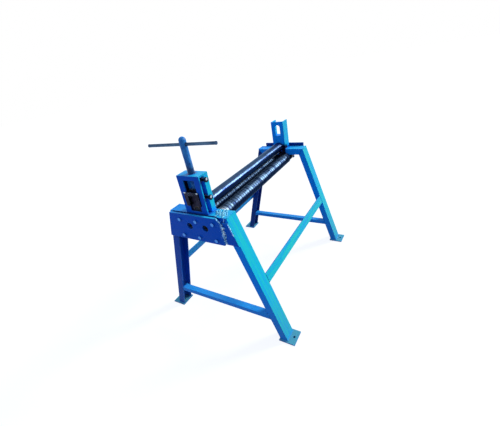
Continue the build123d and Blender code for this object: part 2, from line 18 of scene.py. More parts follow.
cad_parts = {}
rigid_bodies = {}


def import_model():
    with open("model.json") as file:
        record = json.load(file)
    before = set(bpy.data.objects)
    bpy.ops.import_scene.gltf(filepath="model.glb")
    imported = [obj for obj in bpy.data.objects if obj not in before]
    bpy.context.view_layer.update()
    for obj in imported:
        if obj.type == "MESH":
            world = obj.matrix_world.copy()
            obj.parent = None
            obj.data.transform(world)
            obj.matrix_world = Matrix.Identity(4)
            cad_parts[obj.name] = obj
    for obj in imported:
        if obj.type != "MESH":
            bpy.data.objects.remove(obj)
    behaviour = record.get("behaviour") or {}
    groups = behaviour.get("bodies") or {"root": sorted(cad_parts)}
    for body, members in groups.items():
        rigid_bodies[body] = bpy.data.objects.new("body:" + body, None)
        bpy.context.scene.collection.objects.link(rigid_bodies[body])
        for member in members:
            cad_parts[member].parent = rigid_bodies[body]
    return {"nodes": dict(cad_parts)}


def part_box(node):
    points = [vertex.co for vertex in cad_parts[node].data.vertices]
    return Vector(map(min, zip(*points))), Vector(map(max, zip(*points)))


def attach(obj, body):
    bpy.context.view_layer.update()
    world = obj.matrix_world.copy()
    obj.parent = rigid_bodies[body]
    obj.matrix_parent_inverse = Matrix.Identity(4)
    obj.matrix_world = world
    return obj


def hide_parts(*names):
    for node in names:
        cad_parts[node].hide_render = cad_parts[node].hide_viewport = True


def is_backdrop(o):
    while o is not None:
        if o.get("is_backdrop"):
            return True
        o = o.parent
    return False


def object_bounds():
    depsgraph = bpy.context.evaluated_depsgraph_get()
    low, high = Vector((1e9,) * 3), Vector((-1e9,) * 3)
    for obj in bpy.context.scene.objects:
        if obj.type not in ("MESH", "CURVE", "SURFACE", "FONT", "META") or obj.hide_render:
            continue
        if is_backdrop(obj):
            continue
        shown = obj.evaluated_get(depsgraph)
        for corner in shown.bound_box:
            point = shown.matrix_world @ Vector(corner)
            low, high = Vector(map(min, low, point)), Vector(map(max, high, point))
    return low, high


for leftover in list(bpy.data.objects):
    bpy.data.objects.remove(leftover)

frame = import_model()
nodes = frame["nodes"]
solid_low, solid_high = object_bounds()
slot_of = {name: piece.material_slots[0].material.name for name, piece in nodes.items()}

# %% [markdown]
# ## Camera
#
# The picture was taken from the screw's end, a little above the machine, with a wide lens held slightly
# tilted. A camera could be placed by eye, but this place and these angles come from lining up known
# corners of the machine, so the perspective is right.

# %% Camera
scene = bpy.context.scene
picture_width = 500
focal_length = 279.58  # in picture pixels
sensor_width = 36.0  # in millimetres
camera_place = Vector((-1.4764, -0.9679, 1.4476))
yaw, pitch, roll = (radians(angle) for angle in (34.83, -28.34, -10.81))


def put_in_scene(name, data):
    """A new object for a mesh, a lamp or a camera."""
    made = bpy.data.objects.new(name, data)
    scene.collection.objects.link(made)
    return made


forward = Vector((cos(pitch) * cos(yaw), cos(pitch) * sin(yaw), sin(pitch)))
level_right = Vector((sin(yaw), -cos(yaw), 0.0))
level_up = level_right.cross(forward)
camera_right = cos(roll) * level_right + sin(roll) * level_up
camera_up = cos(roll) * level_up - sin(roll) * level_right

lens = bpy.data.cameras.new("camera")
lens.sensor_fit = "HORIZONTAL"
lens.sensor_width = sensor_width
lens.lens = focal_length / picture_width * sensor_width
camera = put_in_scene("camera", lens)
camera_turn = Matrix((camera_right, camera_up, -forward)).transposed()
camera.matrix_world = Matrix.Translation(camera_place) @ camera_turn.to_4x4()
scene.camera = camera
scene.view_settings.view_transform = "Standard"
print("lens", round(lens.lens, 2), "mm at", [round(part, 3) for part in camera_place])

# %% [markdown]
# ## Shader arithmetic
#
# A finish is a network of nodes. They could be linked one at a time, but that hides the sums they stand
# for. Here a `Wire` wraps one output socket and takes part in Python arithmetic, and a `Network` adds any
# node with one method. Colours go through Mix nodes and places through Vector Math, because a Math node
# would turn a colour grey.


# %% Wire
class Wire:
    """An output socket that takes part in sums like a number."""

    def __init__(self, network, socket):
        self.network = network
        self.socket = socket

    def maths(self, operation, first, second=0.0):
        return self.network.node("ShaderNodeMath", {"operation": operation}, {0: first, 1: second})

    def __add__(self, other):
        return self.maths("ADD", self, other)

    __radd__ = __add__

    def __sub__(self, other):
        return self.maths("SUBTRACT", self, other)

    def __rsub__(self, other):
        return self.maths("SUBTRACT", other, self)

    def __mul__(self, other):
        return self.maths("MULTIPLY", self, other)

    __rmul__ = __mul__

    def __abs__(self):
        return self.maths("ABSOLUTE", self)

    def least(self, other):
        return self.maths("MINIMUM", self, other)

    def wrapped(self, length):
        return self.maths("FLOORED_MODULO", self, length)

    def vector(self, operation, other, output=0):
        """Vector arithmetic on places and directions."""
        settings = {"operation": operation}
        return self.network.node("ShaderNodeVectorMath", settings, {0: self, 1: other}, output)

    def ease(self, low, high):
        """0 below low, 1 above high and smooth in between."""
        sockets = {"Value": self, "From Min": low, "From Max": high}
        return self.network.node("ShaderNodeMapRange", {"interpolation_type": "SMOOTHSTEP"}, sockets)

    def part(self, letter):
        """One part of a place or of a direction."""
        return self.network.node("ShaderNodeSeparateXYZ", {}, {0: self}, letter)

    def noise(self, scale, detail=3.0, roughness=0.55):
        """Noise at a place."""
        sockets = {"Vector": self, "Scale": scale, "Detail": detail, "Roughness": roughness}
        return self.network.node("ShaderNodeTexNoise", {}, sockets)

    def bump(self, strength, distance):
        """A normal that is tilted by a height."""
        sockets = {"Height": self, "Strength": strength, "Distance": distance}
        return self.network.node("ShaderNodeBump", {}, sockets)


# %% Network
class Network:
    """The nodes of a material or of the world."""

    def __init__(self, owner):
        owner.use_nodes = True
        self.owner = owner
        self.nodes = owner.node_tree.nodes
        self.links = owner.node_tree.links
        self.nodes.clear()

    def node(self, kind, settings=None, sockets=None, output=0):
        """Adds any node: its type, its settings, then the values or wires of its sockets."""
        made = self.nodes.new(kind)
        for name, value in (settings or {}).items():
            setattr(made, name, value)
        for key, value in (sockets or {}).items():
            if isinstance(value, Wire):
                self.links.new(value.socket, made.inputs[key])
            else:
                made.inputs[key].default_value = value
        return Wire(self, made.outputs[output]) if made.outputs else None

    def where(self, kind="Object"):
        """A coordinate on the piece."""
        return self.node("ShaderNodeTexCoord", output=kind)

    def mix(self, factor, first, second, blend="MIX"):
        """A colour between two others."""
        settings = {"data_type": "RGBA", "blend_type": blend}
        return self.node("ShaderNodeMix", settings, {0: factor, 6: first, 7: second}, 2)

    def open_air(self, reach):
        """How open a place is, within a reach."""
        return self.node("ShaderNodeAmbientOcclusion", {"samples": 8}, {"Distance": reach}, "AO")


def colour(red, green, blue):
    """Linear light, from a colour as it looks on a screen, 0 to 255."""
    levels = [part / 255 for part in (red, green, blue)]
    linear = [v / 12.92 if v <= 0.04045 else ((v + 0.055) / 1.055) ** 2.4 for v in levels]
    return (*linear, 1.0)


print("mid grey is", round(colour(128, 128, 128)[0], 3), "in linear light")

# %% [markdown]
# ## Light and floor
#
# The machine stands in front of white. A lamp like a hazy sun, from the front right, draws the bright
# lines on the rollers, and a pale blue sky fills the shade. A plain white dome would flatten it all, so
# the world, and the floor's glow under the soft shadow, are white only to the camera and reflections.

# %% Sky and lamp
side_sky = colour(136, 160, 196)
top_sky = colour(186, 206, 232)
sky_level = 0.95
key_colour = (1.0, 0.97, 0.90)
key_level = 3.4
key_angle = radians(16)
key_from = Vector((0.72, -0.57, 0.43))


def seen_directly(network):
    """1 for rays that carry a picture, 0 for rays that only carry light."""
    kinds = ("Is Camera Ray", "Is Glossy Ray", "Is Transmission Ray")
    straight, mirrored, through = (network.node("ShaderNodeLightPath", output=kind) for kind in kinds)
    return (straight + mirrored + through).least(1.0)


world = bpy.data.worlds.new("sky")
scene.world = world
sky = Network(world)
sky_colour = sky.mix(sky.where("Generated").part("Z").ease(0.0, 0.9), side_sky, top_sky)
shade = sky.node("ShaderNodeBackground", {}, {"Color": sky_colour, "Strength": sky_level})
white = sky.node("ShaderNodeBackground", {}, {"Color": (1.0, 1.0, 1.0, 1.0), "Strength": 1.0})
both = sky.node("ShaderNodeMixShader", {}, {0: seen_directly(sky), 1: shade, 2: white})
sky.node("ShaderNodeOutputWorld", {}, {"Surface": both})

key = bpy.data.lights.new("soft_key", "SUN")
key.energy = key_level
key.color = key_colour
key.angle = key_angle
key_lamp = put_in_scene("soft_key", key)
key_lamp.rotation_mode = "QUATERNION"
key_lamp.rotation_quaternion = key_from.to_track_quat("Z", "Y")
print("key lamp from", [round(part, 2) for part in key_from.normalized()])

# %% Floor
floor_reach = 30.0
floor_shade = colour(128, 132, 138)
floor_glow = 0.86

ground = Network(bpy.data.materials.new("pale_floor"))
matt = ground.node("ShaderNodeBsdfDiffuse", {}, {"Color": floor_shade})
glow = ground.node("ShaderNodeEmission", {}, {"Strength": seen_directly(ground) * floor_glow})
lit_floor = ground.node("ShaderNodeAddShader", {}, {0: matt, 1: glow})
ground.node("ShaderNodeOutputMaterial", {}, {"Surface": lit_floor})

floor_mesh = bpy.data.meshes.new("floor")
corner_signs = ((-1, -1), (1, -1), (1, 1), (-1, 1))
floor_corners = [(i * floor_reach, j * floor_reach, 0.0) for i, j in corner_signs]
floor_mesh.from_pydata(floor_corners, [], [(0, 1, 2, 3)])
floor_mesh.materials.append(ground.owner)
floor = put_in_scene("floor", floor_mesh)
floor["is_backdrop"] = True
print("floor reaches", floor_reach, "metres each way")

# %% [markdown]
# ## Blue enamel
#
# The frame is brush-painted in bright blue. It is paler and greener where the weather reaches it, on the
# front and less so on top, and that paler tone also paints the sun and sky on those faces as painted
# light; where it is sheltered it is deep blue. The front legs, the far end and the inside of the housing
# have a fresher, paler blue, which also lifts their faces in shade as painted light. Grime and painted
# shade darken corners and the pieces out of the light, dust settles on tops, mud splashes up, edges are
# thin and chipped and pale as a painted highlight, and oil from the far bearing stains its post, darkened
# further as the painted shadow of the roller. One colour would look like plastic, so each of these is a
# mask. Streaks are noise squeezed along the brush, edges come from a Bevel node, which leans the normal
# over near an edge, and corners from an Ambient Occlusion node, which sees how open a place is.

# %% Masks for paint and metal
def new_finish(name):
    """A new material's network, and the places on its piece."""
    network = Network(bpy.data.materials.new(name))
    return network, network.where()


def close_finish(network, sockets):
    """Ends a finish with its shader, and gives the material."""
    surface = network.node("ShaderNodeBsdfPrincipled", {}, sockets)
    network.node("ShaderNodeOutputMaterial", {}, {"Surface": surface})
    return network.owner


def brushed(place, along, stretch):
    """Places squeezed along a direction, for streaks."""
    length = place.vector("DOT_PRODUCT", along, "Value")
    back = (length * (1 - 1 / stretch)).vector("MULTIPLY", along)
    return place.vector("SUBTRACT", back)


def worn_edges(network, radius):
    """1 along sharp edges and 0 on open faces."""
    leaning = network.node("ShaderNodeBevel", {"samples": 6}, {"Radius": radius})
    straight = network.node("ShaderNodeNewGeometry", output="True Normal")
    return 1 - leaning.vector("DOT_PRODUCT", straight, "Value")


def nearest(place, points):
    """The distance to the nearest of several points."""
    distance = 10.0
    for point in points:
        distance = place.vector("DISTANCE", point, "Value").least(distance)
    return distance


leg_slope = 0.3  # how far a leg leans for each metre of height
along_x = (1.0, 0.0, 0.0)
along_y = (0.0, 1.0, 0.0)
along_z = (0.0, 0.0, 1.0)
up_front_leg = tuple(Vector((0.0, leg_slope, 1.0)).normalized())
up_back_leg = tuple(Vector((0.0, -leg_slope, 1.0)).normalized())
print("up a front leg is", [round(part, 3) for part in up_front_leg])

# %% Blues and greys
deep_blue = colour(4, 92, 206)
# A fresher, paler base; on the far frame and in the housing it also lifts faces in shade, as painted light.
fresh_blue_and_painted_light = colour(4, 148, 255)
# Weathered tones, paler and greener; on faces turned to the sun and sky they are also painted light.
weathered_and_lit_blue = colour(25, 196, 188)
weathered_and_lit_streak_blue = colour(16, 172, 208)
weathered_and_lit_top_blue = colour(20, 182, 240)
# Thin paint, for brush streaks and for pale edges that are also a painted highlight.
thin_paint_and_highlight_blue = colour(56, 172, 240)
# The colour of grime and of painted shade in corners, hollows and pieces out of the light.
grime_and_shade_blue = colour(6, 30, 94)
dust_grey = colour(140, 178, 204)
mud_grey = colour(74, 120, 140)
trodden_green = colour(92, 170, 172)
bare_steel = colour(196, 208, 214)
# Oil from the far bearing, darkened further as the painted shadow of the roller on the post.
oil_and_shadow_dark = colour(6, 10, 44)
# The side the weather and the painted light come from.
weather_and_light_side = (0.0, -0.88, 0.47)
shelter_reach = 0.045
oil_and_shadow_place = (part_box("far_post")[0].x, -0.032, 0.782)
oil_and_shadow_reach = 0.066
print("oil leaks at", [round(part, 3) for part in oil_and_shadow_place])


# %% Blue enamel
def enamel(name, along, weather_and_light=1.0, shade=0.0, base=deep_blue, corners=grime_and_shade_blue, oil_and_shadow_at=None):
    """Blue paint brushed one way, with shares of weather and painted light, and of painted shade."""
    paint, place = new_finish(name)
    facing = paint.where("Normal")
    height = place.part("Z")
    patches = place.noise(9.0)
    streaks = brushed(place, along, 28.0).noise(115.0, 4.0, 0.6)
    specks = place.noise(420.0, 4.0, 0.7)
    open_air = paint.open_air(shelter_reach)

    # Faces turned that way, and high tops to the front, get the weathered tone and painted light.
    front = facing.vector("DOT_PRODUCT", weather_and_light_side, "Value").ease(0.15, 0.95)
    flat = facing.part("Z").ease(0.6, 0.95)
    # The back of a high top stays deeper, as painted shade.
    forward_half = 1 - place.part("Y").ease(-0.10, 0.14)
    rained_on_and_lit = 0.14 + 0.80 * forward_half * height.ease(0.4, 0.8)
    lit_and_weathered = (front + flat * rained_on_and_lit) * open_air.ease(0.55, 0.95) * weather_and_light
    weathered_and_lit_coat = paint.mix(streaks.ease(0.44, 0.56), weathered_and_lit_blue, weathered_and_lit_streak_blue)
    weathered_and_lit_coat = paint.mix(flat * 0.75, weathered_and_lit_coat, weathered_and_lit_top_blue)
    coat = paint.mix(lit_and_weathered * (0.72 + 0.45 * patches), base, weathered_and_lit_coat)
    coat = paint.mix(streaks.ease(0.35, 0.75) * 0.30, coat, thin_paint_and_highlight_blue, "SOFT_LIGHT")
    coat = paint.mix(patches.ease(0.55, 0.8) * 0.18, coat, base)
    # Corners and recesses darken by how open they are: grime, and painted shade.
    grime_and_corner_shade = (1 - open_air.ease(0.20, 0.62)) * (0.55 + 0.4 * specks)
    coat = paint.mix(grime_and_corner_shade, paint.mix(shade, coat, grime_and_shade_blue), corners)

    splashed = (1 - height.ease(0.0, 0.45)) * specks.ease(0.20, 0.75) * 0.55 * (1 - shade)
    settled = flat * (patches + 0.3 * specks).ease(0.45, 0.95) * 0.16
    trodden = (1 - height.ease(0.008, 0.030)) * flat * 0.70
    edge = worn_edges(paint, 0.003).ease(0.03, 0.3)
    chipped = edge * specks.ease(0.57, 0.63)
    coat = paint.mix(splashed, coat, mud_grey)
    coat = paint.mix(settled, coat, dust_grey)
    coat = paint.mix(trodden, coat, trodden_green)
    # Edges are paler: thin paint, and a painted highlight.
    coat = paint.mix(edge * 0.60, coat, thin_paint_and_highlight_blue)
    coat = paint.mix(chipped, coat, bare_steel)
    # Round one point on the far post the paint darkens: oil, and the painted shadow of the roller.
    if oil_and_shadow_at:
        away = nearest(place, [oil_and_shadow_at]) + 0.05 * (patches - 0.5)
        coat = paint.mix(1 - away.ease(oil_and_shadow_reach * 0.6, oil_and_shadow_reach), coat, oil_and_shadow_dark)

    lumps = streaks * 0.6 + place.noise(750.0, 2.0) * 0.25 - chipped * 0.5
    return close_finish(paint, {
        "Base Color": coat,
        "Roughness": 0.36 + 0.18 * patches,
        "Specular IOR Level": 0.09,
        "Normal": lumps.bump(0.35, 0.0006),
    })


paint_of = {
    "front_leg": enamel("enamel_up_front_legs", up_front_leg, 0.95, base=fresh_blue_and_painted_light),
    "far_back_leg": enamel("enamel_up_far_back_leg", up_back_leg, 0.10, 0.70),
    "back_leg": enamel("enamel_up_near_back_leg", up_back_leg, 0.10, 0.32),
    "stretcher": enamel("enamel_along_stretchers", along_y, 0.6, base=fresh_blue_and_painted_light),
    "back_rail": enamel("enamel_along_back_rail", along_x, 0.55),
    "rail": enamel("enamel_along_front_rail", along_x),
    "guide": enamel("enamel_up_guide_plate", along_z),
    # In the housing's recess the corners take the paler blue instead of grime, as painted light.
    "upright": enamel("enamel_up_uprights", along_z, 0.85, base=fresh_blue_and_painted_light, corners=fresh_blue_and_painted_light),
    "post": enamel("enamel_up_far_post", along_z, 0.85, base=fresh_blue_and_painted_light, oil_and_shadow_at=oil_and_shadow_place),
    "far_end": enamel("enamel_behind_far_beam", along_y, 0.5, 0.7),
    "far": enamel("enamel_across_far_frame", along_y, 0.7, base=fresh_blue_and_painted_light),
    "near": enamel("enamel_across_near_frame", along_y),
}
print(len(paint_of), "kinds of brushwork")

# %% [markdown]
# ## Bare and oiled metal
#
# The bearing blocks and bosses are flame-cut iron, nearly black with oil and rubbed bright at the edges;
# the bosses' darkness also paints the shade round the roller ends. Bushes are bronze under old oil, and
# the tommy bar is handled steel. Each metal could be one colour, but real ones differ in patches and
# scratches, so each mixes two tones with noise at its own scale. A place that is knocked often is a
# point, and the metal is bare round it; the same bright spot is a painted glint on the guide screws'
# heads. Hollows of bronze and weld darken towards the shade blue, as painted shade.

# %% Bare and oiled metal
# Bare steel for knocked spots, and for painted glints.
knocked_steel_and_glint = colour(188, 206, 220)
oil_black = colour(10, 12, 24)
oil_grey = colour(44, 42, 66)
rubbed_grey = colour(110, 144, 172)


def metal(name, dark, bright, grain, roughness, wear=None, stretch=None, knocks_and_glints=(), reach=0.0, shade_reach=None):
    """Metal in two tones, with scratches, rubbed edges, knocked spots and painted glints, and painted shade
    in hollows.
    """
    steel, place = new_finish(name)
    patches = place.noise(grain, 4.0, 0.6)
    scratched = brushed(place, stretch, 30.0) if stretch else place
    fine = scratched.noise(grain * 12, 3.0, 0.65)
    tone = steel.mix((patches * 0.6 + fine * 0.4).ease(0.35, 0.68), dark, bright)
    if wear:
        rubbed = worn_edges(steel, 0.0025).ease(0.03, 0.35)
        tone = steel.mix(rubbed * (patches + 0.4 * fine).ease(0.45, 0.85), tone, wear)
    # Round each point the metal is bright: a knocked spot, and on the guide screws a painted glint.
    if knocks_and_glints:
        ragged = nearest(place, knocks_and_glints) + 1.6 * reach * (fine - 0.5)
        tone = steel.mix(1 - ragged.ease(reach * 0.5, reach), tone, knocked_steel_and_glint)
    # Hollows darken towards the shade blue, as painted shade.
    if shade_reach:
        tone = steel.mix(1 - steel.open_air(shade_reach).ease(0.30, 0.85), tone, grime_and_shade_blue)
    return close_finish(steel, {
        "Base Color": tone,
        "Metallic": 1.0,
        "Roughness": roughness + 0.22 * (fine - 0.5),
        "Normal": fine.bump(0.25, 0.0004),
    })


finishes = {
    "block_iron": metal("oiled_iron", oil_black, oil_grey, 38.0, 0.42, rubbed_grey),
    "bush_bronze": metal("oily_bronze", colour(30, 28, 32), colour(92, 74, 52), 60.0, 0.42, shade_reach=0.030),
    "bolt_steel": metal("zinc_bolts", colour(84, 104, 130), colour(168, 184, 198), 150.0, 0.38),
    "bar_steel": metal("handled_steel", colour(38, 62, 94), colour(74, 104, 136), 14.0, 0.36, None, along_y),
}
corner_inset = 0.006
keeper_low, keeper_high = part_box("block_keeper")
inset_ys = (keeper_low.y + corner_inset, keeper_high.y - corner_inset)
keeper_corners = [(keeper_low.x, y, keeper_high.z) for y in inset_ys]
keeper_iron = metal("keeper_iron", oil_black, oil_grey, 38.0, 0.42, rubbed_grey,
                    knocks_and_glints=keeper_corners, reach=0.008)
print("metals:", sorted(finishes), "and a keeper knocked at", len(keeper_corners), "corners")

# %% [markdown]
# ## Roller steel
#
# The rollers were turned on a lathe and are dark with oil. Scale and tool marks run round them, so the
# tone changes along the axis only. Noise in one dimension, fed with the distance along the roller, gives
# such bands however the roller turns, and very fine noise tilts the surface as tool marks do, which draws
# the light out into one long line. The underside is nearly black: oil, with painted shade and a painted
# dark reflection of the ground, and where the rollers crowd each other they go black as painted shade.
# The lower rollers' grooves hold black dirt, their near ends are rubbed bright and pale as a painted
# highlight, and the journals are dull with old grease, which also paints the shade in the plate's holes.

# %% Roller steel
face_end = 0.4750
groove_pitch = 0.0230
groove_width = 0.0064
groove_count = 40
groove_start = -groove_count * groove_pitch / 2
# Black for dirt in the grooves, for grease, and for painted shade between the rollers.
black_dirt_and_shade = colour(4, 8, 20)
# Nearly black for the underside: oil, with painted shade and a painted dark reflection of the ground.
oil_and_dark_underside = colour(12, 24, 56)
# Pale steel for the near ends: rubbed bright, and a painted highlight.
rubbed_and_highlit_end = colour(196, 210, 224)
glint = colour(196, 214, 232)


def roller_steel(name, dark, pale, band_level, roughness, dark_underside_line, grooved):
    """Turned steel with bands round it, and a dark underside below a line on its side: oil, painted shade
    and painted reflection.
    """
    steel, place = new_finish(name)
    distance = place.part("X")
    line = {"noise_dimensions": "1D"}
    wide = steel.node("ShaderNodeTexNoise", line, {"W": distance, "Scale": 26.0, "Detail": 3.0})
    marks = steel.node("ShaderNodeTexNoise", line, {"W": distance, "Scale": 2500.0, "Detail": 2.0})
    upward = steel.node("ShaderNodeNewGeometry", output="Normal").part("Z")
    smear = brushed(place, along_x, 6.0).noise(60.0, 4.0, 0.6)
    blur = 0.2 / band_level
    tone = steel.mix((wide * 0.55 + smear * 0.45).ease(0.5 - blur, 0.5 + blur), dark, pale)
    if grooved:
        # The near ends are rubbed bright, and this pale band also stands as a painted highlight.
        bare = 1 - (distance + 0.06 * (smear - 0.5)).ease(0.030 - face_end, 0.080 - face_end)
        tone = steel.mix(bare * 0.8, tone, rubbed_and_highlit_end)
    # Below a line on the side, by the world's up, the tone goes nearly black: oil, painted shade and
    # reflection.
    dark_underside = 1 - (upward + 0.5 * (smear - 0.5)).ease(dark_underside_line, dark_underside_line + 0.32)
    tone = steel.mix(dark_underside, tone, oil_and_dark_underside)
    if grooved:
        turn = (distance - groove_start).wrapped(groove_pitch)
        dirt = turn.ease(groove_pitch - groove_width, groove_pitch - 0.6 * groove_width)
        tone = steel.mix(dirt * 0.7, tone, black_dirt_and_shade)
    # Where the rollers crowd each other the tone goes black, as painted shade.
    tone = steel.mix((1 - steel.open_air(0.05).ease(0.25, 0.90)) * 0.85, tone, black_dirt_and_shade)
    # The journals are darkened with grease, which also paints the shade inside the end plate's holes.
    grease = abs(distance).ease(face_end + 0.004, face_end + 0.010)
    tone = steel.mix(grease * 0.8, tone, black_dirt_and_shade)
    return close_finish(steel, {
        "Base Color": tone,
        "Metallic": 1 - 0.8 * grease,
        "Specular Tint": glint,
        "Roughness": roughness + 0.14 * (smear - 0.5) * band_level + 0.2 * grease,
        "Normal": (marks + 0.15 * smear).bump(0.3, 0.00015),
    })


turned_tones = (colour(46, 62, 94), colour(70, 92, 124))
scaled_tones = (colour(30, 46, 80), colour(100, 128, 158))
finishes["roller_steel"] = roller_steel("turned_roller_steel", *turned_tones, 0.7, 0.32, 0.40, False)
scaled_steel = roller_steel("scaled_roller_steel", *scaled_tones, 1.8, 0.50, 0.26, True)
print("roller finishes:", finishes["roller_steel"].name, scaled_steel.name)

# %% [markdown]
# ## Screw paint
#
# The pressure screw was painted with the frame, then oiled. The head is still blue, the thread near
# the nut is dark with grease, and below the nut it is blue again. Two masks on the height along the
# screw darken that stretch, and they move with the screw because they are measured on it.

# %% Screw paint
grease_top = 1.095
grease_fade = 0.060
grease_bottom = 0.968
grease_start = 0.020

paint, place = new_finish("greasy_screw_paint")
height = place.part("Z")
patches = place.noise(55.0, 4.0, 0.6)
specks = place.noise(300.0, 3.0, 0.6)
coat = paint.mix(patches.ease(0.3, 0.7), colour(20, 96, 176), colour(46, 138, 206))
edge = worn_edges(paint, 0.0015).ease(0.03, 0.3) * specks.ease(0.42, 0.6)
coat = paint.mix(edge * 0.6, coat, colour(150, 190, 214))
grease = 1 - (height + 0.03 * patches).ease(grease_top - grease_fade, grease_top)
grease = grease * height.ease(grease_bottom, grease_bottom + grease_start)
coat = paint.mix(grease * (0.55 + 0.4 * specks), coat, colour(16, 30, 58))
finishes["screw_paint"] = close_finish(paint, {
    "Base Color": coat,
    "Roughness": 0.46 - 0.16 * grease,
    "Specular IOR Level": 0.3,
    "Normal": (patches + 0.3 * specks).bump(0.4, 0.0008),
})
print("grease from", grease_bottom, "up to", grease_top)

# %% [markdown]
# ## Painted over
#
# Whoever painted the frame didn't mask the fasteners. The bolt heads are blue, with the crown rubbed
# bright by spanners and sleeves, and the top of the bronze nut is blue where the brush reached it. The
# border between paint and metal is a distance along the piece, blurred with noise.

# %% Painted over
crown_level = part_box("far_plate_bolts")[1].x
nut_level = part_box("bridge_plate")[1].z
crown_depth = 0.0005
border_blur = 0.0010
rubbed_crown = colour(72, 134, 208)
old_bronze = colour(150, 110, 58)


def half_painted(name, letter, border, paint_inside, metal_tone):
    """Paint on one side of a border along an axis, metal on the other."""
    paint, place = new_finish(name)
    patches = place.noise(260.0, 4.0, 0.65)
    outward = abs(place.part(letter)) + border_blur * (patches - 0.5)
    beyond = outward.ease(border - border_blur / 2, border)
    bare = beyond if paint_inside else 1 - beyond
    coat = paint.mix(patches, colour(8, 62, 150), colour(14, 100, 196))
    tone = paint.mix(bare * (0.55 + 0.6 * patches), coat, metal_tone)
    return close_finish(paint, {"Base Color": tone, "Metallic": bare, "Roughness": 0.4})


bolt_paint = half_painted("painted_bolt_heads", "X", crown_level - crown_depth, True, rubbed_crown)
finishes["nut_paint"] = half_painted("painted_nut", "Z", nut_level, False, old_bronze)
print("bolt crowns at", round(crown_level, 4), "and nut top at", round(nut_level, 4))

# %% [markdown]
# ## Dressing the solids
#
# Rolled steel has rounded corners and a cut plate has a filed edge, and a line of light on them is what
# makes steel look solid. The solids have knife-sharp edges, split corners and many flat triangles. A
# Weld modifier joins the corners and a planar Decimate merges the triangles, so that a small bevel
# runs clean.

# %% Dressing the solids
rounding_of = {"frame_paint": 0.0014, "block_iron": 0.0009, "bush_bronze": 0.0005, "roller_steel": 0.0006}


def finish_of(name):
    """A solid's finish, by its slot or by the first word that fits its name."""
    if name == "screw_nut":
        return finishes["nut_paint"]
    if name == "block_keeper":
        return keeper_iron
    # Bosses take the dark oiled iron, whose darkness also paints the shade round the roller ends.
    if "boss" in name:
        return finishes["block_iron"]
    if slot_of[name] != "frame_paint":
        return finishes[slot_of[name]]
    words = [word for word in paint_of if word in name]
    return paint_of[words[0] if words else "near"]


def modify(piece, kind, **settings):
    """Adds a modifier with its settings."""
    made = piece.modifiers.new(kind.lower(), kind)
    for name, value in settings.items():
        setattr(made, name, value)


def soften(piece, width):
    """Rounds a solid's sharp edges without touching its mesh."""
    modify(piece, "WELD", merge_threshold=0.00001)
    modify(piece, "DECIMATE", decimate_type="DISSOLVE", angle_limit=radians(0.5))
    modify(piece, "BEVEL", width=width, segments=2, limit_method="ANGLE", angle_limit=radians(35))
    modify(piece, "WEIGHTED_NORMAL")


for name, piece in nodes.items():
    piece.material_slots[0].material = finish_of(name)
    if slot_of[name] in rounding_of:
        soften(piece, rounding_of[slot_of[name]])
print("dressed", len(nodes), "solids")

# %% [markdown]
# ## Turned and wound shapes
#
# Screws, nuts, bolts, rollers and weld beads are all rings of points along an axis, with a skin
# between them. The reach of a ring may be a number, for a turned piece, or a function of the angle,
# for a hexagon, a square socket or a thread. A list of rings is a shell, and one mesh can hold many.

# %% Rings
axes = {"x": Vector(along_x), "y": Vector(along_y), "z": Vector(along_z)}
across = {"x": ("y", "z"), "y": ("z", "x"), "z": ("x", "y")}


def turned(base, axis, profile, sides=48):
    """Rings for distances along an axis and reaches from it."""
    first, second = (axes[letter] for letter in across[axis])
    rings = []
    for along, reach in profile:
        points = []
        for step in range(sides):
            angle = tau * step / sides
            out = reach(angle) if callable(reach) else reach
            away = cos(angle) * first + sin(angle) * second
            points.append(base + along * axes[axis] + out * away)
        rings.append(points)
    return rings


def hexagon(flats):
    """The reach of a hexagon, by the angle."""
    return lambda angle: flats / 2 / cos((angle + pi / 6) % (pi / 3) - pi / 6)


def square(side):
    """The reach of a square, by the angle."""
    return lambda angle: side / 2 / max(abs(cos(angle)), abs(sin(angle)))


print("a 24 mm hexagon reaches", round(hexagon(0.024)(pi / 6) * 1000, 2), "mm at its corners")


# %% Skin
def skin(name, shells):
    """One mesh over several shells, closed at their ends."""
    points = []
    faces = []
    for rings in shells:
        start = len(points)
        count = len(rings[0])
        points += [point for one in rings for point in one]
        for row in range(len(rings) - 1):
            low = start + row * count
            for step in range(count):
                after = (step + 1) % count
                faces.append((low + step, low + after, low + count + after, low + count + step))
        last = start + (len(rings) - 1) * count
        faces.append(tuple(range(start, start + count)))
        faces.append(tuple(range(last, last + count)))
    mesh = bpy.data.meshes.new(name)
    mesh.from_pydata(points, [], faces)
    shape = bmesh.new()
    shape.from_mesh(mesh)
    bmesh.ops.recalc_face_normals(shape, faces=shape.faces)
    shape.to_mesh(mesh)
    shape.free()
    return mesh


def show(name, mesh, finish, slot, body, *stands_for):
    """Puts a mesh, or shells to skin, on a body in place of solids."""
    if isinstance(mesh, list):
        mesh = skin(name, mesh)
    mesh.materials.clear()
    mesh.materials.append(finish)
    mesh.polygons.foreach_set("use_smooth", [True] * len(mesh.polygons))
    mesh.set_sharp_from_angle(angle=radians(38))
    piece = put_in_scene(name, mesh)
    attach(piece, body)
    if stands_for:
        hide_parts(*stands_for)
    print(name, "has", len(mesh.polygons), "faces and rides on", body)

# %% [markdown]
# ## Pressure screw
#
# A trapezoid thread runs up to a plain round head with a dome and a cross hole for the tommy bar. A
# thread could be a swept curve, but that leaves seams. Here the reach of each ring follows a helix, so
# thread, neck and dome are one skin, and the hole with its countersunk mouths is cut with a Boolean.

# %% Thread
def smooth_step(value):
    """0 below 0, 1 above 1 and smooth in between."""
    held = min(max(value, 0.0), 1.0)
    return held * held * (3 - 2 * held)


